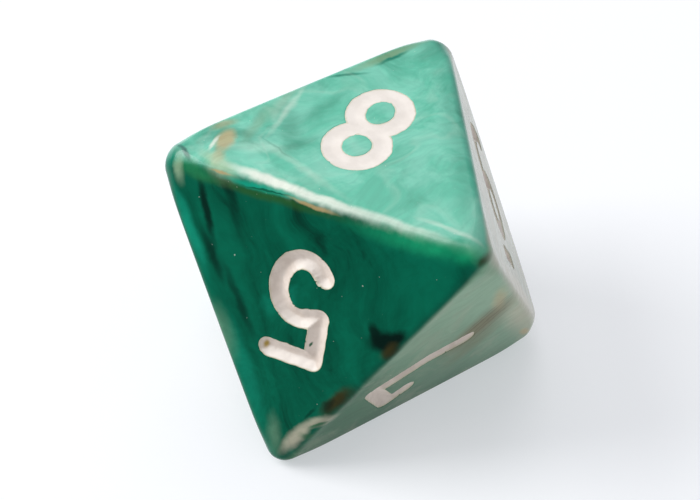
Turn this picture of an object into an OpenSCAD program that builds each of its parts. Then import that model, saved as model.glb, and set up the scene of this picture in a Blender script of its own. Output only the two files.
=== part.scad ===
/* [Die] */
// Distance between two opposite faces
face_to_face = 15; // [14:0.5:20]
// Radius that the edges and corners are rounded to
edge_round = 1.0; // [0.6:0.1:1.8]

/* [Numerals] */
// Overall height of a numeral
numeral_h = 6.8; // [5:0.1:7.2]
// Overall width of a numeral
numeral_w = 3.7; // [3:0.1:4.2]
// Width of the engraved stroke
stroke_w = 1.05; // [0.6:0.05:1.2]
// How far a numeral's middle sits above the middle of its face
numeral_rise = 0.8; // [0:0.05:1.2]
// How much higher the six sits, to leave room for the bar under it
six_lift = 0.6; // [0:0.05:0.7]
// How much shorter the five is than the other numerals
five_less = 0.35; // [0:0.05:0.6]
// How much lower the five sits than the other numerals
five_drop = 0.1; // [0:0.05:0.5]
// Length of the bar under the six
underline_len = 2.9; // [2:0.1:4]
// Width of the bar under the six
underline_w = 0.85; // [0.5:0.05:1]
// Gap between the six and the bar under it
underline_gap = 0.55; // [0.3:0.05:0.8]

/* [Engraving] */
// Depth of the engraved strokes
engrave_depth = 0.45; // [0.3:0.05:0.8]
// How far the paint's surface lies below the face
paint_recess = 0.15; // [0.05:0.05:0.2]

/* [Hidden] */

PLASTIC = [0.20, 0.56, 0.45];
PAINT = [0.95, 0.92, 0.88];

// The octahedron before rounding: it lies on face DEF, and face ABC is on top.
half_diagonal = face_to_face * sqrt(3) / 2;
ring_r = half_diagonal * sqrt(2 / 3);
centre = [0, 0, face_to_face / 2];
A = ring_point(210, face_to_face);
B = ring_point(90, face_to_face);
C = ring_point(330, face_to_face);
D = ring_point(30, 0);
E = ring_point(270, 0);
F = ring_point(150, 0);
CORNERS = [A, B, C, D, E, F];

// A ball at each corner touches its four faces, at this distance from the centre.
ball_reach = half_diagonal - sqrt(3) * edge_round;
ball_fn = 32;

// Centrelines of the strokes run this far from a numeral's middle.
cw = (numeral_w - stroke_w) / 2;
ch = (numeral_h - stroke_w) / 2;
underline_y = numeral_rise + six_lift - numeral_h / 2 - underline_gap - underline_w / 2;
paint_depth = engrave_depth - paint_recess;
cutter_over = 1;
hair = 0.01;
arc_step = 10;
stroke_fn = 32;

// Each numeral with its face's corners; the numeral's top points at the first of them.
FACE_1 = [E, F, D];
FACE_2 = [B, A, F];
FACE_3 = [E, A, F];
FACE_4 = [B, F, D];
FACE_5 = [E, C, A];
FACE_6 = [B, D, C];
FACE_7 = [E, D, C];
FACE_8 = [B, C, A];

function ring_point(turn, z) = [ring_r * cos(turn), ring_r * sin(turn), z];
function unit(v) = v / norm(v);

// Puts its children on a face: +Z outwards, +Y towards the face's first corner
module on_face(face, rise = 0) {
    middle = (face[0] + face[1] + face[2]) / 3;
    up = unit(face[0] - middle);
    out = unit(middle - centre);
    right = cross(up, out);
    seat = middle + up * rise;
    multmatrix([
        [right.x, up.x, out.x, seat.x],
        [right.y, up.y, out.y, seat.y],
        [right.z, up.z, out.z, seat.z],
        [0, 0, 0, 1]
    ]) children();
}

// Hairline along the middle of a straight stroke
module bar(from, to) {
    run = to - from;
    translate(from) rotate(atan2(run.y, run.x)) translate([0, -hair / 2]) square([norm(run), hair]);
}

// Hairline along the middle of a curved stroke: an arc of radius r, from one angle to another
module arc(middle, r, start, end) {
    steps = ceil((end - start) / arc_step);
    turns = [for (i = [0:steps]) start + (end - start) * i / steps];
    outer = [for (i = [0:steps]) middle + (r + hair / 2) * [cos(turns[i]), sin(turns[i])]];
    inner = [for (i = [steps:-1:0]) middle + (r - hair / 2) * [cos(turns[i]), sin(turns[i])]];
    polygon(concat(outer, inner));
}

// Gives hairlines a stroke's width and round ends
module stroke(width) {
    offset(r = (width - hair) / 2, $fn = stroke_fn) children();
}

// Closed oval stroke: half circles above and below, joined by straight sides
module loop(middle_y, half_w, half_h) {
    straight = half_h - half_w;
    arc([0, middle_y + straight], half_w, 0, 180);
    arc([0, middle_y - straight], half_w, 180, 360);
    for (side = [-1, 1])
        bar([side * half_w, middle_y - straight], [side * half_w, middle_y + straight]);
}

module stroke_1() {
    bar([0.1 * cw, ch], [0.1 * cw, -ch]);
    bar([0.1 * cw, ch], [-0.75 * cw, 0.68 * ch]);
}

module stroke_2() {
    bowl_y = ch - cw;
    arc([0, bowl_y], cw, -35, 165);
    bar([cw * cos(-35), bowl_y + cw * sin(-35)], [-cw, -ch]);
    bar([-cw, -ch], [cw, -ch]);
}

module stroke_3() {
    upper_r = 0.475 * ch;
    lower_r = ch - upper_r;
    arc([-0.05 * cw, ch - upper_r], upper_r, -90, 150);
    arc([-0.1 * cw, lower_r - ch], lower_r, -150, 90);
}

module stroke_4() {
    bar([0.4 * cw, ch], [0.4 * cw, -ch]);
    bar([0.4 * cw, ch], [-1.1 * cw, -0.35 * ch]);
    bar([-1.1 * cw, -0.35 * ch], [1.1 * cw, -0.35 * ch]);
}

module stroke_5() {
    half_h = ch - five_less / 2;
    drop = 0.12 * half_h;
    upper_y = cw + 2 * drop - half_h;
    lower_y = cw - half_h;
    bar([-0.88 * cw, half_h], [1.05 * cw, half_h]);
    bar([-0.88 * cw, half_h], [-0.88 * cw, drop]);
    bar([-0.88 * cw, drop], [cw * cos(115), upper_y + cw * sin(115)]);
    arc([0, upper_y], cw, 0, 115);
    bar([cw, upper_y], [cw, lower_y]);
    arc([0, lower_y], cw, -145, 0);
}

module stroke_6() {
    hook_r = 1.35 * cw;
    hook_y = ch - hook_r;
    arc([hook_r - cw, hook_y], hook_r, 62, 180);
    bar([-cw, hook_y], [-cw, cw - ch]);
    loop(1.1 * cw - ch, cw, 1.1 * cw);
}

module stroke_7() {
    bar([-1.1 * cw, ch], [1.1 * cw, ch]);
    bar([-1.1 * cw, ch], [-1.1 * cw, 0.55 * ch]);
    bar([1.1 * cw, ch], [0.62 * cw, -0.15 * ch]);
    bar([0.62 * cw, -0.15 * ch], [-0.2 * cw, -0.9 * ch]);
}

module stroke_8() {
    upper_h = 0.52 * ch;
    lower_h = ch - upper_h;
    loop(ch - upper_h, 0.96 * cw, upper_h);
    loop(lower_h - ch, 0.98 * cw, lower_h);
}

module underline() {
    reach = (underline_len - underline_w) / 2;
    bar([-reach, 0], [reach, 0]);
}

// The cutter for the groove of the strokes drawn by its children, and the paint in that groove
module groove(face, rise = numeral_rise, width = stroke_w) {
    on_face(face, rise) translate([0, 0, -engrave_depth])
        linear_extrude(height = engrave_depth + cutter_over) stroke(width) children();
}
module paint(face, rise = numeral_rise, width = stroke_w) {
    color(PAINT) on_face(face, rise) translate([0, 0, -engrave_depth])
        linear_extrude(height = paint_depth) stroke(width) children();
}

// Stands its children, drawn up +Z, along the line from one point to another
module along(from, to) {
    run = to - from;
    translate(from) rotate([0, acos(run.z / norm(run)), atan2(run.y, run.x)]) children();
}

// Ball with a ring through the four points where it touches a corner's faces, so that they come out flat
module corner_ball() {
    steps = 4;
    touch = acos(1 / sqrt(3));
    rings = [for (i = [0:steps]) touch * i / steps, 90, 180];
    rotate_extrude($fn = ball_fn)
        polygon([for (turn = rings) edge_round * [sin(turn), cos(turn)]]);
}

// The octahedron with rounded edges and corners
module blank() {
    hull() for (corner = CORNERS)
        along(centre, corner) translate([0, 0, ball_reach]) corner_ball();
}

module die_body() {
    color(PLASTIC) difference() {
        blank();
        groove(FACE_1) stroke_1();
        groove(FACE_2) stroke_2();
        groove(FACE_3) stroke_3();
        groove(FACE_4) stroke_4();
        groove(FACE_5, numeral_rise - five_drop) stroke_5();
        groove(FACE_6, numeral_rise + six_lift) stroke_6();
        groove(FACE_6, underline_y, underline_w) underline();
        groove(FACE_7) stroke_7();
        groove(FACE_8) stroke_8();
    }
}

module numeral_1_paint() { paint(FACE_1) stroke_1(); }
module numeral_2_paint() { paint(FACE_2) stroke_2(); }
module numeral_3_paint() { paint(FACE_3) stroke_3(); }
module numeral_4_paint() { paint(FACE_4) stroke_4(); }
module numeral_5_paint() { paint(FACE_5, numeral_rise - five_drop) stroke_5(); }
module numeral_6_paint() { paint(FACE_6, numeral_rise + six_lift) stroke_6(); }
module numeral_7_paint() { paint(FACE_7) stroke_7(); }
module numeral_8_paint() { paint(FACE_8) stroke_8(); }
module underline_6_paint() { paint(FACE_6, underline_y, underline_w) underline(); }

die_body();
numeral_1_paint();
numeral_2_paint();
numeral_3_paint();
numeral_4_paint();
numeral_5_paint();
numeral_6_paint();
numeral_7_paint();
numeral_8_paint();
underline_6_paint();
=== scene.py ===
import math

import bmesh
import bpy
import numpy as np
from mathutils import Matrix, Vector
from mathutils.geometry import delaunay_2d_cdt


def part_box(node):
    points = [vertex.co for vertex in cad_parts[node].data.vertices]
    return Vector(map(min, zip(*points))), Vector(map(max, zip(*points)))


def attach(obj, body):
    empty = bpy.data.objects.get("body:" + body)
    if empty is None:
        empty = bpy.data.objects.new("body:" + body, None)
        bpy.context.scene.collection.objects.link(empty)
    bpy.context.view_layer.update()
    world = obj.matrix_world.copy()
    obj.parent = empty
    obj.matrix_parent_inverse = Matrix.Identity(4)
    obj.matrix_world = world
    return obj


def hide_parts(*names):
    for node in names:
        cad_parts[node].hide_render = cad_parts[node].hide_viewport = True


MM = 0.001

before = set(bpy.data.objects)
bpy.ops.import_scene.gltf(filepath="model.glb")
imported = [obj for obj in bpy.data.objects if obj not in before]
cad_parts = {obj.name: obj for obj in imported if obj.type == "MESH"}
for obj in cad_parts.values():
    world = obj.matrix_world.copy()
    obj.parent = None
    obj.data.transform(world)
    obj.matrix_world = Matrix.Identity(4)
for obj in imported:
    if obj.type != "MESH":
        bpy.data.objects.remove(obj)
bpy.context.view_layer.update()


# ---------------------------------------------------------------- sizes, in millimetres

body_low, body_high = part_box("die_body")
FACE_TO_FACE = (body_high.z - body_low.z) / MM
HALF_DIAGONAL = FACE_TO_FACE * math.sqrt(3) / 2
RING = HALF_DIAGONAL * math.sqrt(2 / 3)
EDGE = HALF_DIAGONAL * math.sqrt(2)
CENTRE = np.array([0.0, 0.0, FACE_TO_FACE / 2])

# Rounding left by tumbling: the blend size of the edges, and of the corners. As the camera sees
# them, the corner at the far right is more worn than the others, and the two in front less
EDGE_BLEND = 0.32
CORNER_BLEND = 1.15
OTHER_CORNERS = {"C": 1.05, "D": 1.4, "E": 0.9}
CORNER_REACH = 7.0  # degrees, seen from the centre
CROWN = 0.035  # how far a face falls away from its middle to its corners

eight_low, eight_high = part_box("numeral_8_paint")
NUMERAL_WIDTH = (eight_high.x - eight_low.x) / MM
NUMERAL_HEIGHT = (eight_high.y - eight_low.y) / MM
NUMERAL_RISE = (eight_high.y + eight_low.y) / 2 / MM
STROKE = 1.05
UNDERLINE_STROKE = 0.85
HALF_W = (NUMERAL_WIDTH - STROKE) / 2
HALF_H = (NUMERAL_HEIGHT - STROKE) / 2
UNDERLINE_LENGTH = 2.9
SIX_LIFT = 0.6
FIVE_LESS = 0.35
FIVE_DROP = 0.1
GROOVE_DEPTH = 0.45
PAINT_SAG = 0.38  # how far the paint sinks from its edge to the middle of its stroke
FULLER = {"numeral_8_paint": 0.12, "numeral_2_paint": 0.7}  # the share of it in fuller grooves
RIM = 0.05  # how far a groove's soft rim reaches to each side of its outline
PAINT_EDGE = 0.015  # how far the paint reaches past the outline
PAINT_BELOW = 0.01  # how far the paint's underside is sunk into the plastic
PAINT_LEAST = 0.03  # the paint's least thickness
RAGGED = 0.014  # how far the outline wanders
CHIP = 0.06  # how far a chip cuts into the paint
CHIP_FROM, CHIP_FULL = 1.0, 1.7  # heights of the ripple that chip the outline

# Spacing of the mesh's points
BORDER_GAP = 0.23
ROUNDED_GAP = 0.26
FLAT_GAP = 0.4
RIM_GAP = 0.085
PAINT_GAP = 0.14
FINE_FILL = 0.11
WIDE_FILL = 0.42
CELL = 0.05
# How far the points that fill an area stay from the rows beside it
FINE_CLEAR = 0.05
SIDE_CLEAR = 0.2
MARK_CLEAR = 0.12
# Distances from a mark's outline, and from a face's sides, at which the mesh has a row of points
LEVELS = [2.5 * RIM, RIM, 0.6 * RIM, PAINT_EDGE, -0.03, -0.08, -0.14, -0.21, -0.30]
INSETS = [0.08, 0.17, 0.27, 0.38, 0.5, 0.64, 0.8, 1.0, 1.3, 1.7]


def ring_point(turn, z):
    turn = math.radians(turn)
    return np.array([RING * math.cos(turn), RING * math.sin(turn), z])


def unit(v):
    return v / np.linalg.norm(v)


CORNERS = {
    "A": ring_point(210, FACE_TO_FACE),
    "B": ring_point(90, FACE_TO_FACE),
    "C": ring_point(330, FACE_TO_FACE),
    "D": ring_point(30, 0.0),
    "E": ring_point(270, 0.0),
    "F": ring_point(150, 0.0),
}
# Each numeral's face; the numeral's top points at the first corner
FACES = {1: "EFD", 2: "BAF", 3: "EAF", 4: "BFD", 5: "ECA", 6: "BDC", 7: "EDC", 8: "BCA"}


class Face:
    """A face's own axes: x to the right and y up as its numeral reads, z outwards."""

    def __init__(self, corners):
        self.corners = [CORNERS[c] for c in corners]
        self.middle = sum(self.corners) / 3
        self.up = unit(self.corners[0] - self.middle)
        self.out = unit(self.middle - CENTRE)
        self.right = np.cross(self.up, self.out)

    def flat(self, point):
        return np.array([(point - self.middle) @ self.right, (point - self.middle) @ self.up])

    def solid(self, xy):
        return self.middle + xy[:, :1] * self.right + xy[:, 1:] * self.up


# ---------------------------------------------------------------- rounded octahedron


def blend_size(ray):
    """How large the rounding is in a direction from the centre: larger near a corner."""
    size = np.full(len(ray), EDGE_BLEND)
    for name, corner in CORNERS.items():
        turn = np.degrees(np.arccos(np.clip(ray @ unit(corner - CENTRE), -1, 1)))
        near = np.exp(-((turn / CORNER_REACH) ** 2))
        size += (OTHER_CORNERS.get(name, CORNER_BLEND) - EDGE_BLEND) * near
    return size


SLABS = np.array([Face(FACES[n]).out for n in (8, 5, 6, 2)])


def outside(points, size):
    """Above zero outside the rounded octahedron; points are measured from the centre."""
    along = np.abs(points @ SLABS.T)
    aside = np.sum(points**2, axis=1)[:, None] - along**2
    past = along - FACE_TO_FACE / 2 + CROWN * aside / RING**2
    return np.linalg.norm(np.maximum(past + size[:, None], 0), axis=1) - size


def rounded(points):
    """Draws points of the sharp octahedron in towards the centre, onto the rounded one."""
    away = points - CENTRE
    length = np.linalg.norm(away, axis=1)
    ray = away / length[:, None]
    size = blend_size(ray)
    low, high = 0.5 * length, 1.1 * length
    for _ in range(40):
        middle = (low + high) / 2
        out = outside(ray * middle[:, None], size) > 0
        high = np.where(out, middle, high)
        low = np.where(out, low, middle)
    return CENTRE + ray * ((low + high) / 2)[:, None]


# ---------------------------------------------------------------- numeral strokes


def line(*points):
    """Straight stroke through points."""
    return [np.array(p, float) for p in points]


def arc(middle, across, upright, start, end):
    """Curved stroke: part of an oval, from one angle to another."""
    steps = max(8, int(abs(end - start) / 4))
    turns = np.radians(np.linspace(start, end, steps))
    return [np.add(middle, (across * math.cos(t), upright * math.sin(t))) for t in turns]


def strokes(numeral):
    """The strokes' middle lines, from the numeral's own middle."""
    w, h = HALF_W, HALF_H
    if numeral == 1:
        return [line((-0.75 * w, 0.68 * h), (0.1 * w, h), (0.1 * w, -h))]
    if numeral == 2:
        return [arc((0, h - w), w, w, 165, -35) + line((-w, -h), (w, -h))]
    if numeral == 3:
        upper = 0.475 * h
        lower = h - upper
        return [
            arc((-0.05 * w, h - upper), upper, upper, 150, -90),
            arc((-0.1 * w, lower - h), lower, lower, 90, -150),
        ]
    if numeral == 4:
        return [line((0.4 * w, -h), (0.4 * w, h), (-1.1 * w, -0.35 * h), (1.1 * w, -0.35 * h))]
    if numeral == 5:
        h -= FIVE_LESS / 2
        return [
            line((1.05 * w, h), (-0.88 * w, h), (-0.88 * w, 0.09 * h))
            + arc((0, -0.4 * h), w, 0.6 * h, 115, -145)
        ]
    if numeral == 6:
        hook = 1.35 * w
        return [
            arc((hook - w, h - hook), hook, hook, 62, 180) + line((-w, 1.1 * w - h)),
            arc((0, 1.1 * w - h), w, 1.1 * w, 0, 360),
        ]
    if numeral == 7:
        return [
            line((-1.1 * w, 0.55 * h), (-1.1 * w, h), (1.1 * w, h)),
            line((1.1 * w, h), (0.62 * w, -0.15 * h), (-0.2 * w, -0.9 * h)),
        ]
    upper = 0.52 * h
    lower = h - upper
    return [
        arc((0, h - upper), 0.96 * w, upper, 0, 360),
        arc((0, lower - h), 0.98 * w, lower, 0, 360),
    ]


def distance(xy, path):
    """Distance from each point to a stroke's middle line."""
    best = np.full(len(xy), 1e9)
    for p, q in zip(path[:-1], path[1:]):
        run = q - p
        t = np.clip(((xy - p) @ run) / max(run @ run, 1e-12), 0, 1)
        best = np.minimum(best, np.linalg.norm(xy - p - t[:, None] * run, axis=1))
    return best


def ripple(xy, seed):
    """Smooth noise from a few waves, about -1 to 1."""
    rng = np.random.default_rng(seed)
    total = np.zeros(len(xy))
    for wave in (1.1, 0.7, 0.45, 0.3, 0.22):
        for _ in range(3):
            turn, shift = rng.uniform(0, 2 * math.pi, 2)
            along = xy @ np.array([math.cos(turn), math.sin(turn)])
            total += wave**0.5 * np.sin(2 * math.pi * along / wave + shift)
    return total / 3


class Engraving:
    """One engraved and painted mark: its strokes on a face, as a distance from its outline."""

    def __init__(self, node, paths, shift, stroke, seed):
        self.node, self.stroke, self.seed = node, stroke, seed
        self.paths = [[p + np.array([0.0, shift]) for p in path] for path in paths]

    def outline(self, xy):
        """Distance from the ragged outline, below zero inside the stroke."""
        near = np.min([distance(xy, path) for path in self.paths], axis=0)
        chips = smoothstep(ripple(1.1 * xy, self.seed + 100), CHIP_FROM, CHIP_FULL)
        return near - self.stroke / 2 + RAGGED * ripple(xy, self.seed) + CHIP * chips

    def box(self):
        points = np.array([p for path in self.paths for p in path])
        return points.min(0) - self.stroke, points.max(0) + self.stroke

    def sampled(self):
        """A grid of points over the mark, and the outline's distance at each."""
        low, high = self.box()
        xs = np.arange(low[0], high[0] + CELL, CELL)
        ys = np.arange(low[1], high[1] + CELL, CELL)
        grid = np.stack(np.meshgrid(xs, ys, indexing="ij"), -1)
        return grid, self.outline(grid.reshape(-1, 2)).reshape(grid.shape[:2])


def engravings(numeral):
    """The marks on a numeral's face."""
    node = f"numeral_{numeral}_paint"
    rise = NUMERAL_RISE + {5: -FIVE_DROP, 6: SIX_LIFT}.get(numeral, 0)
    marks = [Engraving(node, strokes(numeral), rise, STROKE, numeral)]
    if numeral == 6:
        low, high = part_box("underline_6_paint")
        middle = np.array((low + high) / 2 / MM)
        reach = (UNDERLINE_LENGTH - UNDERLINE_STROKE) / 2
        bar = line((-reach, 0), (reach, 0))
        drop = Face(FACES[6]).flat(middle)[1]
        marks.append(Engraving("underline_6_paint", [bar], drop, UNDERLINE_STROKE, 60))
    return marks


# ---------------------------------------------------------------- meshes


def contours(grid, value):
    """Closed loops where the value at a grid's points crosses zero, by marching squares."""
    inside = value < 0

    def crossing(a, b):
        t = value[a] / (value[a] - value[b])
        return grid[a] + t * (grid[b] - grid[a])

    links, place = {}, {}
    count = inside[:-1, :-1].astype(int) + inside[1:, :-1] + inside[:-1, 1:] + inside[1:, 1:]
    for i, j in zip(*np.nonzero((count > 0) & (count < 4))):
        ring = [(i, j), (i + 1, j), (i + 1, j + 1), (i, j + 1)]
        cuts = []
        for a, b in zip(ring, ring[1:] + ring[:1]):
            if inside[a] != inside[b]:
                key = (min(a, b), max(a, b))
                place.setdefault(key, crossing(*key))
                cuts.append(key)
        for a, b in zip(cuts[::2], cuts[1::2]):
            links.setdefault(a, []).append(b)
            links.setdefault(b, []).append(a)
    loops = []
    while links:
        start = next(iter(links))
        loop, here = [], start
        while here in links:
            loop.append(place[here])
            ahead = [k for k in links.pop(here) if k in links]
            if not ahead:
                break
            here = ahead[0]
        if len(loop) > 6:
            loops.append(np.array(loop))
    return loops


def even(loop, gap):
    """Points evenly spaced along a closed loop."""
    closed = np.vstack([loop, loop[:1]])
    steps = np.linalg.norm(np.diff(closed, axis=0), axis=1)
    along = np.concatenate([[0], np.cumsum(steps)])
    count = max(8, round(along[-1] / gap))
    at = np.linspace(0, along[-1], count, endpoint=False)
    return np.stack([np.interp(at, along, closed[:, k]) for k in (0, 1)], 1)


def smoothstep(value, low, high):
    """Eases from 0 to 1 while a value goes from low to high."""
    t = np.clip((value - low) / (high - low), 0, 1)
    return t * t * (3 - 2 * t)


def groove(edge, half):
    """Depth of a groove at a distance inside its outline: a soft rim, then a U."""
    s = np.clip((RIM - edge) / (half + RIM), 0, 1)
    wall = np.sin(math.pi / 2 * s) ** 0.8
    return GROOVE_DEPTH * wall * smoothstep(RIM - edge, 0, 2 * RIM)


def paint_top(edge, half, sag):
    """Depth of the paint's surface, which dries hollow in its groove."""
    start = groove(np.array([PAINT_EDGE]), half)[0]
    s = np.clip((PAINT_EDGE - edge) / (half + PAINT_EDGE), 0, 1)
    return start + sag * s * (1.25 - 0.25 * s * s)


def triangle_rows(corners, gap):
    """Points along a triangle's three sides."""
    points = []
    for a, b in zip(corners, corners[1:] + corners[:1]):
        count = max(2, round(np.linalg.norm(b - a) / gap))
        points += [a + (b - a) * i / count for i in range(count)]
    return points


def from_sides(xy, corners):
    """Distance of each point from a triangle's three sides, above zero inside."""
    away = []
    for a, b in zip(corners, corners[1:] + corners[:1]):
        normal = unit(np.array([a[1] - b[1], b[0] - a[0]]))
        away.append((xy - a) @ normal * np.sign(-a @ normal))
    return np.stack(away, 1)


def hex_fill(low, high, gap):
    """Points of a triangular grid over a box."""
    rows = np.arange(low[1], high[1], gap * math.sqrt(3) / 2)
    points = []
    for k, y in enumerate(rows):
        xs = np.arange(low[0] + (k % 2) * gap / 2, high[0], gap)
        points.append(np.stack([xs, np.full(len(xs), y)], 1))
    return np.vstack(points)


def mesh_face(face, marks):
    """Triangles over one face's whole sharp triangle, fine where it is engraved or rounded."""
    corners = [face.flat(c) for c in face.corners]
    points, edges = [], []

    def add_loop(loop):
        start = len(points)
        points.extend(loop)
        edges.extend((start + i, start + (i + 1) % len(loop)) for i in range(len(loop)))

    add_loop(triangle_rows(corners, BORDER_GAP))
    inradius = EDGE / (2 * math.sqrt(3))
    for inset in INSETS:
        scale = 1 - inset / inradius
        gap = ROUNDED_GAP if inset < 1 else FLAT_GAP
        add_loop(triangle_rows([c * scale for c in corners], gap))

    for mark in marks:
        grid, away = mark.sampled()
        for level in LEVELS:
            for loop in contours(grid, away - level):
                add_loop(even(loop, RIM_GAP if level < 1.5 * RIM else PAINT_GAP))
        fill = hex_fill(*mark.box(), FINE_FILL)
        points.extend(fill[mark.outline(fill) < LEVELS[-1] - FINE_CLEAR])
    fill = hex_fill(np.min(corners, 0), np.max(corners, 0), WIDE_FILL)
    keep = (from_sides(fill, corners) > INSETS[-1] + SIDE_CLEAR).all(1)
    for mark in marks:
        keep &= mark.outline(fill) > LEVELS[0] + MARK_CLEAR
    points.extend(fill[keep])
    made = delaunay_2d_cdt([Vector(p) for p in points], edges, [], 0, 1e-5)
    xy = np.array([tuple(v) for v in made[0]])
    triangles = np.array([f for f in made[2] if len(f) == 3])
    a, b, c = (xy[triangles[:, k]] for k in range(3))
    backwards = np.cross(b - a, c - a) < 0
    triangles[backwards] = triangles[backwards][:, ::-1]
    border = from_sides(xy, corners) < 1e-4
    return xy, triangles[~border[triangles].all(1).any(1)]


def new_object(name, points, faces, material, node, edge=None):
    """A piece that stands for a CAD node; edge is stored on its points for the material."""
    mesh = bpy.data.meshes.new(name)
    mesh.from_pydata((points * MM).tolist(), [], [tuple(map(int, f)) for f in faces])
    mesh.validate()
    if edge is not None:
        layer = mesh.attributes.new("edge", "FLOAT", "POINT")
        layer.data.foreach_set("value", np.asarray(edge, np.float32))
    mesh.shade_smooth()
    piece = bpy.data.objects.new(name, mesh)
    bpy.context.scene.collection.objects.link(piece)
    mesh.materials.append(material)
    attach(piece, "root")
    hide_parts(node)
    return piece


def weld(piece, gap=3e-4):
    """Joins the faces' patches where their border points meet."""
    mesh = bmesh.new()
    mesh.from_mesh(piece.data)
    bmesh.ops.remove_doubles(mesh, verts=mesh.verts, dist=gap * MM)
    mesh.to_mesh(piece.data)
    mesh.free()
    piece.data.shade_smooth()


def border(triangles):
    """The edges round a patch of triangles, in the order that they are met."""
    sides = {}
    for t in triangles:
        for a, b in ((t[0], t[1]), (t[1], t[2]), (t[2], t[0])):
            if (b, a) in sides:
                del sides[(b, a)]
            else:
                sides[(a, b)] = True
    return list(sides)


def whole_patch(triangles, chosen):
    """The chosen triangles, and any needed so that the patch nowhere touches itself at a point."""
    while True:
        starts, times = np.unique([a for a, b in border(triangles[chosen])], return_counts=True)
        touching = starts[times > 1]
        if not len(touching):
            return triangles[chosen]
        chosen = chosen | np.isin(triangles, touching).any(1)


def paint_piece(face, mark, xy, triangles, edge, material):
    """The paint in one groove: a hollow top, an underside sunk in the plastic, and thin sides."""
    middle = xy[triangles].mean(1)
    mine = whole_patch(triangles, mark.outline(middle) < PAINT_EDGE)
    used, renumbered = np.unique(mine, return_inverse=True)
    mine = renumbered.reshape(-1, 3)
    half = mark.stroke / 2
    sag = PAINT_SAG * FULLER.get(mark.node, 1)
    top = -paint_top(edge[used], half, sag)
    bottom = np.minimum(-groove(edge[used], half) - PAINT_BELOW, top - PAINT_LEAST)
    base = rounded(face.solid(xy[used]))
    points = np.vstack([base + top[:, None] * face.out, base + bottom[:, None] * face.out])
    count = len(used)
    faces = [tuple(t) for t in mine] + [tuple(t[::-1] + count) for t in mine]
    faces += [(b, a, a + count, b + count) for a, b in border(mine)]
    name = mark.node.replace("_paint", "_fill")
    new_object(name, points, faces, material, mark.node, np.tile(edge[used], 2))


# ---------------------------------------------------------------- materials


class Recipe:
    """A material's nodes, joined up by short calls that take and give sockets or numbers."""

    def __init__(self, name):
        self.material = bpy.data.materials.new(name)
        self.material.use_nodes = True
        self.tree = self.material.node_tree
        self.shader = self.tree.nodes["Principled BSDF"]

    def feed(self, socket, value):
        if isinstance(value, bpy.types.NodeSocket):
            self.tree.links.new(value, socket)
        elif hasattr(socket.default_value, "__len__") and len(value) < len(socket.default_value):
            socket.default_value = (*value, 1)
        else:
            socket.default_value = value

    def add(self, kind, *values, **settings):
        node = self.tree.nodes.new("ShaderNode" + kind)
        for key, value in settings.items():
            setattr(node, key, value)
        for socket, value in zip(node.inputs, values):
            if value is not None:
                self.feed(socket, value)
        return node

    def set(self, **values):
        for key, value in values.items():
            self.feed(self.shader.inputs[key.replace("_", " ")], value)

    def place(self):
        """Position on the die, in millimetres."""
        here = self.add("TexCoord").outputs["Object"]
        return self.vector("SCALE", here, None, None, 1 / MM)

    def math(self, operation, a, b=None, clamp=False):
        return self.add("Math", a, b, operation=operation, use_clamp=clamp).outputs[0]

    def vector(self, operation, a, b=None, c=None, scale=None):
        return self.add("VectorMath", a, b, c, scale, operation=operation).outputs[0]

    def reach(self, a, b):
        return self.add("VectorMath", a, b, operation="DOT_PRODUCT").outputs["Value"]

    def noise(self, at, size, detail=3.0, rough=0.5, kind="Factor"):
        """Noise whose features are about this many millimetres across."""
        node = self.add("TexNoise", at)
        node.inputs["Scale"].default_value = 1 / size
        node.inputs["Detail"].default_value = detail
        node.inputs["Roughness"].default_value = rough
        return node.outputs[0] if kind == "Factor" else node.outputs[1]

    def warp(self, at, size, amount, detail=2.0):
        """Moves a position about by smooth noise."""
        push = self.vector("SUBTRACT", self.noise(at, size, detail, kind="Color"), (0.5, 0.5, 0.5))
        return self.vector("ADD", at, self.vector("SCALE", push, None, None, 2 * amount))

    def stretch(self, at, along, amount):
        """Draws features out along a direction."""
        along = unit(np.array(along, float))
        part = self.reach(at, tuple(along))
        off = self.vector("SCALE", tuple(along), None, None, self.math("MULTIPLY", part, amount))
        return self.vector("SUBTRACT", at, off)

    def step(self, value, low, high, start=0.0, end=1.0):
        """Eases from one number to another while a value goes from low to high."""
        node = self.add("MapRange", value, low, high, start, end, interpolation_type="SMOOTHSTEP")
        return node.outputs[0]

    def mix(self, share, a, b):
        node = self.add("Mix", share, data_type="RGBA")
        self.feed(node.inputs[6], a)
        self.feed(node.inputs[7], b)
        return node.outputs[2]

    def blot(self, at, face, x, y, long, wide, turn, soft, strength=1.0):
        """An oval on a face, in the face's own millimetres, fading out across its border."""
        face = Face(FACES[face])
        turn = math.radians(turn)
        along = math.cos(turn) * face.right + math.sin(turn) * face.up
        across = np.cross(face.out, along)
        node = self.add("Mapping", at, vector_type="TEXTURE")
        node.inputs["Location"].default_value = face.solid(np.array([[x, y]]))[0]
        node.inputs["Rotation"].default_value = Matrix((along, across, face.out)).transposed().to_euler()
        size = Vector((long, wide, 2.5 * wide + 0.5))
        node.inputs["Scale"].default_value = size * (1 + soft)
        ball = self.add("TexGradient", node.outputs[0], gradient_type="SPHERICAL").outputs[1]
        return self.step(ball, 0.0, 2 * soft / (1 + soft), 0.0, strength)


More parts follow.
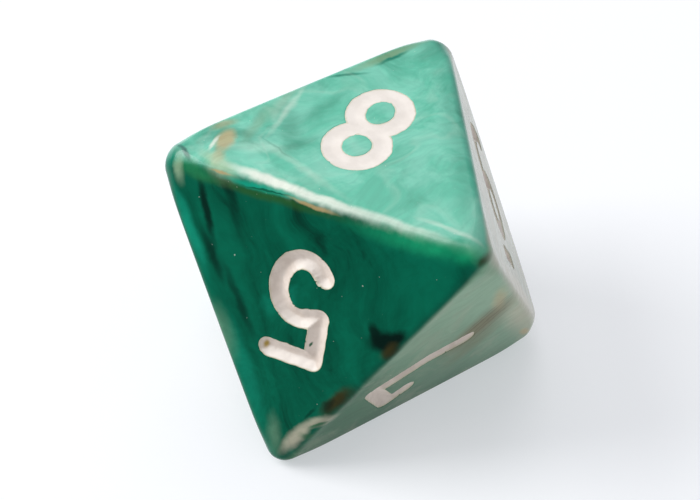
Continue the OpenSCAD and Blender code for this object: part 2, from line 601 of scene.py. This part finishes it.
# Colours of the swirled plastic and its streaks
BLACK_GREEN = (0.0008, 0.0040, 0.0020)
DEEP_GREEN = (0.0004, 0.070, 0.037)
GREEN = (0.001, 0.110, 0.060)
OLIVE = (0.022, 0.085, 0.015)
JADE = (0.008, 0.330, 0.210)
MINT = (0.095, 0.460, 0.320)
PALE_MINT = (0.180, 0.560, 0.420)
DULL_MINT = (0.420, 0.560, 0.360)
FADED_OLIVE = (0.200, 0.280, 0.130)
LEAF = (0.010, 0.300, 0.130)
SEA_GREEN = (0.004, 0.190, 0.120)
SAGE = (0.250, 0.400, 0.270)
FOREST = (0.020, 0.190, 0.070)
GREY_GREEN = (0.200, 0.340, 0.220)
DIM_GREEN = (0.030, 0.120, 0.055)
GREY_BEIGE = (0.290, 0.330, 0.240)
BEIGE = (0.400, 0.370, 0.280)
SAND = (0.520, 0.470, 0.350)
CREAM = (0.760, 0.800, 0.700)
TAN = (0.480, 0.330, 0.150)
BROWN = (0.035, 0.022, 0.003)
UMBER = (0.140, 0.115, 0.045)
TEAL = (0.001, 0.090, 0.075)

# Streaks and blots that the swirl left on the faces:
# face, middle (right, up), half length, half width, turn, softness, colour, strength
BLOTS = [
    # Top face
    (8, -6.1, -3.2, 0.80, 0.42, 102, 0.5, TAN, 0.75),
    (8, -5.85, -4.5, 0.50, 0.28, 105, 0.6, TAN, 0.60),
    (8, -6.75, -2.1, 0.6, 0.25, 60, 0.7, TAN, 0.45),
    (8, -6.5, -3.65, 0.5, 0.10, 91, 0.6, CREAM, 0.7),
    (8, -5.3, -1.2, 1.4, 0.30, 90, 0.8, GREY_GREEN, 0.5),
    (8, -4.9, 0.9, 1.4, 0.30, 94, 0.8, BEIGE, 0.3),
    (8, -4.3, -3.0, 1.2, 0.35, 20, 0.8, CREAM, 0.18),
    (8, -3.6, -1.0, 1.6, 0.5, 120, 0.8, GREEN, 0.35),
    (8, -2.6, -1.8, 0.9, 0.3, 60, 0.8, GREEN, 0.35),
    (8, -2.9, 1.2, 1.3, 0.4, 70, 0.8, GREEN, 0.25),
    (8, -4.4, 0.5, 1.8, 0.15, 92, 0.9, CREAM, 0.32),
    (8, -3.4, -2.7, 1.0, 0.06, -20, 0.8, SEA_GREEN, 0.40),
    (8, -1.6, -3.5, 2.1, 0.20, -20, 0.9, CREAM, 0.20),
    (8, -1.7, 6.7, 2.0, 0.30, 60, 0.7, FADED_OLIVE, 0.60),
    (8, -1.35, 6.7, 0.85, 0.13, 61, 0.7, SEA_GREEN, 1.0),
    (8, -2.9, 4.3, 0.85, 0.13, 35, 0.7, SEA_GREEN, 0.9),
    (8, 4.3, 2.4, 8.0, 0.60, -60, 0.95, SEA_GREEN, 0.45),
    # The edge between the eight and the five, and its two ends; the cream streaks along its crest are a
    # painted highlight
    (8, -5.6, -4.9, 1.0, 0.40, -20, 0.7, DULL_MINT, 0.75),
    # Painted highlight: cream streaks along the crest of the edge, and a short one near corner C
    (8, -2.7, -4.95, 1.9, 0.30, -4, 0.6, CREAM, 0.95),
    (8, -0.2, -5.1, 2.2, 0.24, -2, 0.7, CREAM, 0.80),
    (8, 3.0, -5.1, 2.7, 0.24, 0, 0.8, CREAM, 0.60),
    (8, 6.2, -5.1, 2.0, 0.20, 0, 0.9, CREAM, 0.25),
    (8, 6.7, -4.35, 1.4, 0.15, -3, 0.8, CREAM, 0.35),
    (8, -7.4, -4.95, 1.2, 0.10, -37, 0.6, TEAL, 0.9),
    (8, -8.3, -4.9, 0.6, 0.40, -40, 0.6, SEA_GREEN, 0.7),
    (5, 2.7, -5.0, 2.1, 0.20, 3, 0.5, JADE, 0.85),
    (5, 2.7, -4.95, 1.2, 0.05, 5, 0.5, DEEP_GREEN, 0.8),
    (5, 2.5, -4.65, 3.4, 0.22, 2, 0.8, OLIVE, 0.75),
    (5, 0.2, -4.95, 1.1, 0.10, -3, 0.6, TAN, 0.75),
    (5, 5.3, -5.1, 0.5, 0.07, 2, 0.6, TAN, 0.75),
    (5, -5.9, -4.8, 3.0, 0.42, 2, 0.9, LEAF, 0.70),
    (5, -7.7, -5.0, 1.2, 0.35, 8, 0.8, LEAF, 0.60),
    (5, -8.75, -4.85, 0.42, 0.24, 64, 0.6, BROWN, 0.9),
    # Front face
    (5, -4.75, 0.9, 0.80, 0.52, 20, 0.55, BLACK_GREEN, 1.0),
    (5, -5.3, 0.5, 0.55, 0.30, 45, 0.6, BLACK_GREEN, 1.0),
    (5, -4.2, 0.65, 0.50, 0.28, -50, 0.6, BLACK_GREEN, 0.9),
    (5, -5.1, 1.3, 0.55, 0.25, 60, 0.7, BROWN, 0.9),
    (5, -2.8, 5.1, 1.1, 0.36, 55, 0.6, BROWN, 0.95),
    (5, -2.35, 5.5, 0.5, 0.22, 60, 0.6, BLACK_GREEN, 0.6),
    (5, -0.95, 7.95, 1.2, 0.34, 58, 0.6, BEIGE, 0.85),
    (5, -2.1, 6.6, 0.75, 0.28, 38, 0.6, BEIGE, 0.75),
    (5, 0.3, 8.2, 0.9, 0.35, 100, 0.8, GREY_GREEN, 0.35),
    (5, -2.05, 6.85, 0.45, 0.09, 40, 0.6, DIM_GREEN, 0.9),
    (5, -1.5, 6.3, 0.45, 0.08, 60, 0.5, BLACK_GREEN, 0.5),
    (5, 3.9, 3.4, 1.3, 0.50, 118, 0.7, GREY_GREEN, 0.30),
    (5, 2.4, 5.2, 2.3, 0.45, 116, 0.8, JADE, 0.30),
    (5, 5.8, -3.0, 1.6, 0.22, -68, 0.6, BLACK_GREEN, 0.9),
    (5, 5.1, -0.6, 1.3, 0.24, -60, 0.7, BLACK_GREEN, 0.75),
    (5, 3.3, 1.4, 1.9, 0.22, -56, 0.8, BLACK_GREEN, 0.6),
    (5, 4.3, -3.4, 1.5, 0.25, -66, 0.8, BLACK_GREEN, 0.45),
    (5, 6.5, -1.6, 1.9, 0.28, -60, 0.7, JADE, 0.50),
    (5, 6.7, -4.8, 1.0, 0.35, -12, 0.8, FOREST, 0.75),
    (5, 7.6, -4.6, 0.6, 0.24, -68, 0.8, DULL_MINT, 0.45),
    (5, -6.2, -3.2, 2.2, 0.5, 55, 0.9, GREEN, 0.6),
    # Lower right face, and the pale one above it
    (7, -3.5, -4.7, 4.2, 0.70, 3, 0.9, SAND, 0.50),
    (7, 0.2, -2.8, 2.2, 1.1, 112, 0.7, UMBER, 0.85),
    (7, -1.9, -2.0, 1.7, 0.8, 112, 0.9, UMBER, 0.50),
    (7, 2.4, -4.4, 1.3, 0.38, 170, 0.8, TAN, 0.45),
    (7, 1.3, -3.2, 1.6, 0.06, 112, 0.8, BROWN, 0.35),
    (7, 0.8, -2.9, 1.9, 0.08, 112, 0.8, BROWN, 0.40),
    (7, 0.2, -3.1, 1.9, 0.06, 113, 0.8, BROWN, 0.40),
    (7, -0.3, -2.9, 1.8, 0.07, 111, 0.8, BROWN, 0.35),
    (7, -0.9, -3.1, 1.5, 0.05, 112, 0.8, BROWN, 0.35),
    (7, -6.5, -4.5, 0.7, 0.22, 10, 0.6, TAN, 0.6),
    (7, 1.35, 7.5, 0.6, 0.18, 68, 0.6, DIM_GREEN, 0.8),
    (6, 2.0, -4.7, 6.0, 0.6, 0, 0.8, SAND, 0.85),
    (6, -1.0, -3.4, 1.6, 0.25, 15, 0.6, OLIVE, 0.4),
    (6, -0.5, 5.0, 1.6, 0.15, 40, 0.7, OLIVE, 0.4),
    # Faces out of sight from the front
    (2, -1.5, 2.8, 1.6, 0.35, 40, 0.6, CREAM, 0.5),
    (2, 3.9, -2.1, 1.9, 0.22, 64, 0.7, DEEP_GREEN, 0.9),
    (2, 3.3, -2.6, 1.4, 0.12, 68, 0.6, BLACK_GREEN, 0.7),
    (3, 2.9, 1.2, 1.9, 0.25, 75, 0.6, TAN, 0.6),
    (3, -3.5, -2.9, 1.4, 0.6, 20, 0.6, GREY_GREEN, 0.6),
    (4, 3.2, 0.8, 1.7, 0.3, 120, 0.6, CREAM, 0.5),
    (4, -3.4, -3.1, 1.8, 0.30, 34, 0.8, BROWN, 0.7),
    (4, -3.0, -3.5, 1.2, 0.10, 28, 0.7, BLACK_GREEN, 0.8),
    (1, -3.1, 0.4, 1.8, 0.4, 60, 0.6, TAN, 0.5),
    (1, 3.9, -2.6, 2.0, 0.30, -38, 0.8, BLACK_GREEN, 0.8),
]


def swirled_plastic():
    """Glossy plastic with green, pale and dark swirls that run right through it."""
    r = Recipe("swirled_plastic")
    place = r.place()
    loose = r.warp(r.warp(place, 8.0, 3.0), 2.5, 0.7)
    drawn = r.stretch(loose, CORNERS["A"] - CORNERS["E"], 0.85)
    bands = r.noise(drawn, 2.2, 5.0, 0.6)
    fine = r.noise(r.stretch(loose, (0.5, 1.0, 0.3), 0.93), 0.35, 3.0, 0.6)
    clouds = r.noise(loose, 5.0, 4.0, 0.55)

    # The plastic is lighter towards corner B, and palest beyond the plane of B, C and E. These
    # borders run nearly straight beside corner C, and wander more towards corner F behind it
    centred = r.vector("SUBTRACT", r.warp(place, 2.0, 0.12), tuple(CENTRE))
    wild = r.step(r.reach(centred, tuple(unit(CORNERS["F"] - CENTRE))), 0.3, 6.0)
    stir = r.vector("SUBTRACT", r.warp(place, 7.0, 9.0, 4.0), place)
    nudged = r.vector("ADD", centred, r.vector("SCALE", stir, None, None, wild))
    to_b = r.reach(nudged, tuple(unit(CORNERS["B"] - CENTRE)))
    to_d = r.reach(nudged, tuple(unit(CORNERS["D"] - CENTRE)))
    light = r.step(to_b, -0.35, 0.35)
    pale = r.step(to_d, -0.05, 0.45)

    dark_side = r.mix(r.step(bands, 0.36, 0.62), DEEP_GREEN, GREEN)
    dark_side = r.mix(r.step(bands, 0.42, 0.28, 0.0, 0.7), dark_side, BLACK_GREEN)
    dark_side = r.mix(r.step(clouds, 0.60, 0.78, 0.0, 0.4), dark_side, JADE)
    light_side = r.mix(r.step(bands, 0.36, 0.62), MINT, PALE_MINT)
    light_side = r.mix(r.step(clouds, 0.52, 0.68, 0.0, 0.45), light_side, GREEN)
    color = r.mix(light, dark_side, light_side)
    # Painted shade: the pale plastic turns darker green towards corners E and D, where the die stands on
    # the floor
    far_from_c = tuple(unit(CORNERS["E"] + 0.4 * CORNERS["D"] - 1.4 * CENTRE))
    low = r.reach(r.warp(nudged, 4.0, 1.5), far_from_c)
    low_pale = r.mix(r.step(low, 1.8, 9.5), SAGE, DIM_GREEN)
    low_pale = r.mix(r.step(bands, 0.45, 0.65, 0.0, 0.2), low_pale, BEIGE)
    high_pale = r.mix(r.step(bands, 0.28, 0.56), GREY_BEIGE, BEIGE)
    murky = r.math("MULTIPLY", wild, r.step(clouds, 0.50, 0.64, 0.0, 0.75))
    high_pale = r.mix(murky, high_pale, DIM_GREEN)
    thread = r.math("ABSOLUTE", r.math("SUBTRACT", clouds, 0.47))
    high_pale = r.mix(r.step(thread, 0.06, 0.0, 0.0, 0.30), high_pale, CREAM)
    pale_side = r.mix(light, low_pale, high_pale)
    color = r.mix(r.math("MULTIPLY", pale, 0.9), color, pale_side)

    rough_place = r.warp(r.warp(place, 1.2, 0.20), 0.35, 0.07)
    for face, x, y, long, wide, turn, soft, shade, strength in BLOTS:
        share = r.blot(rough_place, face, x, y, long, wide, turn, soft, strength)
        color = r.mix(share, color, shade)

    # Faint pale wisps, and the grain of the pour
    wisp = r.math("ABSOLUTE", r.math("SUBTRACT", r.noise(drawn, 3.6, 2.0), 0.5))
    faint = r.math("MULTIPLY", light, r.step(wisp, 0.05, 0.0, 0.0, 0.07))
    color = r.mix(faint, color, CREAM)
    grain = r.step(fine, 0.3, 0.7, 0.94, 1.06)
    color = r.vector("SCALE", color, None, None, grain)
    specks = r.step(r.noise(place, 0.20, 1.0, 0.4), 0.79, 0.84, 0.0, 0.4)
    color = r.mix(specks, color, CREAM)
    r.set(Base_Color=color, Roughness=r.step(fine, 0.3, 0.7, 0.17, 0.22), IOR=1.46)
    r.set(Specular_Tint=r.mix(light, (0.15, 0.9, 0.75), (1.0, 1.0, 1.0)))
    shine = r.step(to_b, -0.4, 0.4, 0.12, 0.42)
    r.set(Specular_IOR_Level=r.math("MULTIPLY", shine, r.step(to_d, 0.0, 1.0, 1.0, 0.5)))
    return r.material


def numeral_paint():
    """Matte paint wiped into the grooves: warm white, with painted shade where it faces sideways or
    down, stained at its edge.
    """
    r = Recipe("numeral_paint")
    place = r.place()
    cloudy = r.noise(place, 0.9, 4.0, 0.6)
    # A shaded and a lit tone of the same paint, for painted shade on its walls
    shaded_paint_tone = r.mix(r.step(cloudy, 0.35, 0.65), (0.62, 0.53, 0.46), (0.72, 0.63, 0.56))
    lit_paint_tone = r.mix(r.step(cloudy, 0.35, 0.65), (0.79, 0.72, 0.66), (0.85, 0.78, 0.72))
    facing = r.add("TexCoord").outputs["Normal"]
    upward = r.add("SeparateXYZ", facing).outputs["Z"]
    # Painted shade: the paint is darker where its surface faces sideways or down, lightest where it
    # faces up
    color = r.mix(r.step(upward, 0.45, 0.9), shaded_paint_tone, lit_paint_tone)
    edge = r.add("Attribute", attribute_name="edge").outputs["Fac"]
    stain = r.math("ADD", edge, r.math("MULTIPLY", r.noise(place, 0.25, 3.0), 0.12))
    color = r.mix(r.step(stain, -0.03, 0.05, 0.0, 0.45), color, (0.50, 0.50, 0.30))
    spots = r.warp(place, 0.3, 0.06)
    color = r.mix(r.blot(spots, 5, 1.55, 3.4, 0.22, 0.12, 80, 0.6), color, (0.42, 0.28, 0.05))
    color = r.mix(r.blot(spots, 5, -0.85, 2.55, 0.15, 0.06, 75, 0.4), color, DIM_GREEN)
    r.set(Base_Color=color, Roughness=0.62)
    return r.material


swirl = swirled_plastic()
paint = numeral_paint()

all_points = []
all_faces = []
start = 0
for numeral, corners in FACES.items():
    face = Face(corners)
    marks = engravings(numeral)
    xy, triangles = mesh_face(face, marks)
    depth = np.zeros(len(xy))
    for mark in marks:
        edge = mark.outline(xy)
        depth = np.maximum(depth, groove(edge, mark.stroke / 2))
        paint_piece(face, mark, xy, triangles, edge, paint)
    all_points.append(rounded(face.solid(xy)) - depth[:, None] * face.out)
    all_faces.append(triangles + start)
    start += len(xy)
points = np.vstack(all_points)
faces = np.vstack(all_faces)
body = new_object("die", points, faces, swirl, "die_body")
weld(body)


# ---------------------------------------------------------------- floor, light and camera

FLOOR_REACH = 2.0  # metres

table = Recipe("lit_table")
table.set(Base_Color=(0.50, 0.50, 0.51), Roughness=0.9)
table.set(Emission_Color=(0.94, 0.96, 1.0), Emission_Strength=0.48)
floor_mesh = bpy.data.meshes.new("floor")
ground = [(x * FLOOR_REACH, y * FLOOR_REACH, 0) for x, y in ((-1, -1), (1, -1), (1, 1), (-1, 1))]
floor_mesh.from_pydata(ground, [], [(0, 1, 2, 3)])
floor_mesh.materials.append(table.material)
floor = bpy.data.objects.new("floor", floor_mesh)
bpy.context.scene.collection.objects.link(floor)

world = bpy.data.worlds.new("studio")
bpy.context.scene.world = world
world.use_nodes = True
sky = world.node_tree.nodes["Background"]
sky.inputs["Color"].default_value = (0.92, 0.955, 1.0, 1)
sky.inputs["Strength"].default_value = 0.44


def softbox(name, place, size, power):
    """A square lamp of a size in metres and a power in watts, aimed at the die's centre."""
    light = bpy.data.lights.new(name, "AREA")
    light.shape = "SQUARE"
    light.size = size
    light.energy = power
    lamp = bpy.data.objects.new(name, light)
    lamp.location = place
    aim = Vector((0, 0, FACE_TO_FACE / 2 * MM)) - lamp.location
    lamp.rotation_mode = "QUATERNION"
    lamp.rotation_quaternion = aim.to_track_quat("-Z", "Y")
    bpy.context.scene.collection.objects.link(lamp)


softbox("back_softbox", (-0.109, 0.236, 0.371), 0.22, 0.22)
softbox("top_softbox", (-0.10, -0.12, 0.55), 0.22, 0.42)
softbox("left_softbox", (-0.39, -0.13, 0.36), 0.30, 2.1)
softbox("low_softbox", (-0.50, -0.235, 0.22), 0.30, 0.55)

# The camera looks down at the die from its front and its right, at the photograph's angle
CAMERA_AIM = (-0.41, -0.39, 7.30)
CAMERA_AZIMUTH = math.radians(-65.6)
CAMERA_ELEVATION = math.radians(43.6)
CAMERA_ROLL = math.radians(1.1)
CAMERA_DISTANCE = 93.2
camera_data = bpy.data.cameras.new("camera")
camera_data.sensor_width = 36
camera_data.lens = 89.6
camera_data.clip_start = 0.005
camera = bpy.data.objects.new("camera", camera_data)
level = Vector((-math.sin(CAMERA_AZIMUTH), math.cos(CAMERA_AZIMUTH), 0))
back = Vector((level.y, -level.x, 0)) * math.cos(CAMERA_ELEVATION)
back.z = math.sin(CAMERA_ELEVATION)
right = level * math.cos(CAMERA_ROLL) + back.cross(level) * math.sin(CAMERA_ROLL)
turned = Matrix((right, back.cross(right), back)).transposed()
place = (Vector(CAMERA_AIM) + back * CAMERA_DISTANCE) * MM
camera.matrix_world = Matrix.Translation(place) @ turned.to_4x4()
bpy.context.scene.collection.objects.link(camera)
bpy.context.scene.camera = camera
bpy.context.scene.view_settings.view_transform = "Standard"
